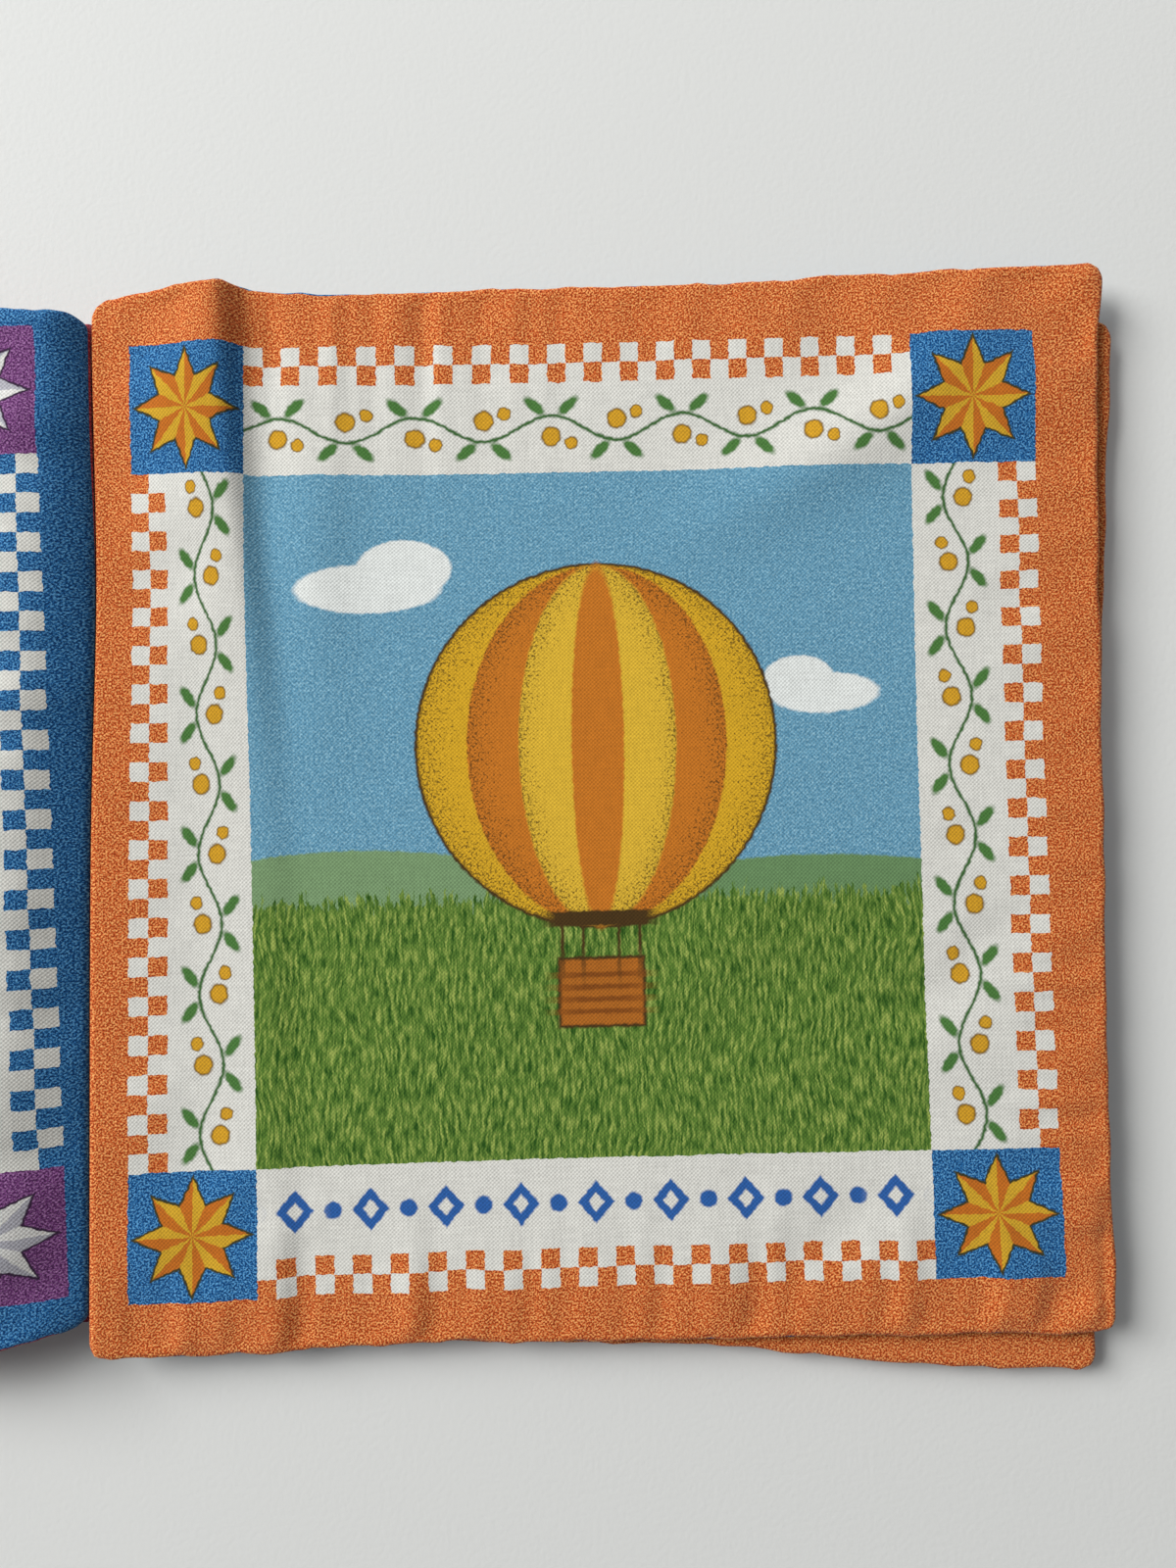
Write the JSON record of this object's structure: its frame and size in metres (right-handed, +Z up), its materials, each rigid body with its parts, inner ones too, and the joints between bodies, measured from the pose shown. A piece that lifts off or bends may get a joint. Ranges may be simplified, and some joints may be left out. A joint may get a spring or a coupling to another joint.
{
  "type": "cloth book",
  "caption": "Soft padded cloth book lying open, its printed double sheets nested and sewn through the fold so that every leaf turns about the spine.",
  "frame": {"origin": "on the table under the fold, at the middle of the spine's underside", "axes": "+X to the reader's right across the open pages, +Y along the spine to the head of the pages, +Z up"},
  "size_m": [0.411, 0.2222, 0.0137],
  "materials": {
    "cotton_orange": "printed plain-weave cotton, matt",
    "cotton_blue": "printed plain-weave cotton, matt",
    "cotton_crimson": "printed plain-weave cotton, matt",
    "cotton_green": "printed plain-weave cotton, matt",
    "cotton_purple": "printed plain-weave cotton, matt",
    "wadding": "bonded fibre wadding",
    "sewing_thread": "spun thread"
  },
  "bodies": {
    "spine": {"sheet_1_fold": "cotton_blue", "sheet_2_fold": "cotton_crimson", "sheet_3_fold": "cotton_orange", "sheet_4_fold": "cotton_crimson", "needle_thread": "sewing_thread", "bobbin_thread": "sewing_thread"},
    "leaf_1": {"leaf_1_front_cloth": "cotton_blue", "leaf_1_wadding": "wadding", "leaf_1_back_cloth": "cotton_green", "leaf_1_seam_thread": "sewing_thread"},
    "leaf_2": {"leaf_2_front_cloth": "cotton_crimson", "leaf_2_wadding": "wadding", "leaf_2_back_cloth": "cotton_purple", "leaf_2_seam_thread": "sewing_thread"},
    "leaf_3": {"leaf_3_front_cloth": "cotton_blue", "leaf_3_wadding": "wadding", "leaf_3_back_cloth": "cotton_orange", "leaf_3_seam_thread": "sewing_thread"},
    "leaf_4": {"leaf_4_front_cloth": "cotton_crimson", "leaf_4_wadding": "wadding", "leaf_4_back_cloth": "cotton_green", "leaf_4_seam_thread": "sewing_thread"},
    "leaf_5": {"leaf_5_front_cloth": "cotton_crimson", "leaf_5_wadding": "wadding", "leaf_5_back_cloth": "cotton_blue", "leaf_5_seam_thread": "sewing_thread"},
    "leaf_6": {"leaf_6_front_cloth": "cotton_orange", "leaf_6_wadding": "wadding", "leaf_6_back_cloth": "cotton_blue", "leaf_6_seam_thread": "sewing_thread"},
    "leaf_7": {"leaf_7_front_cloth": "cotton_orange", "leaf_7_wadding": "wadding", "leaf_7_back_cloth": "cotton_crimson", "leaf_7_seam_thread": "sewing_thread"},
    "leaf_8": {"leaf_8_front_cloth": "cotton_green", "leaf_8_wadding": "wadding", "leaf_8_back_cloth": "cotton_orange", "leaf_8_seam_thread": "sewing_thread"}
  },
  "joints": [
    {"name": "leaf_1_turn", "type": "hinge", "parent": "spine", "child": "leaf_1", "pos_m": [0, 0, 0.01355], "axis": [0, 1, 0], "range_deg": [0, 179.9]},
    {"name": "leaf_2_turn", "type": "hinge", "parent": "leaf_1", "child": "leaf_2", "pos_m": [0, 0, 0.01355], "axis": [0, 1, 0], "range_deg": [0, 179.9]},
    {"name": "leaf_3_turn", "type": "hinge", "parent": "leaf_2", "child": "leaf_3", "pos_m": [0, 0, 0.01355], "axis": [0, 1, 0], "range_deg": [0, 179.9]},
    {"name": "leaf_4_turn", "type": "hinge", "parent": "leaf_3", "child": "leaf_4", "pos_m": [0, 0, 0.01355], "axis": [0, 1, 0], "range_deg": [0, 179.9]},
    {"name": "leaf_5_turn", "type": "hinge", "parent": "leaf_4", "child": "leaf_5", "pos_m": [0, 0, 0.01355], "axis": [0, 1, 0], "range_deg": [0, 179.9]},
    {"name": "leaf_8_turn", "type": "hinge", "parent": "spine", "child": "leaf_8", "pos_m": [0, 0, 0.01355], "axis": [0, 1, 0], "range_deg": [-179.9, 0]},
    {"name": "leaf_7_turn", "type": "hinge", "parent": "leaf_8", "child": "leaf_7", "pos_m": [0, 0, 0.01355], "axis": [0, 1, 0], "range_deg": [-179.9, 0]},
    {"name": "leaf_6_turn", "type": "hinge", "parent": "leaf_7", "child": "leaf_6", "pos_m": [0, 0, 0.01355], "axis": [0, 1, 0], "range_deg": [-179.9, 0]}
  ]
}
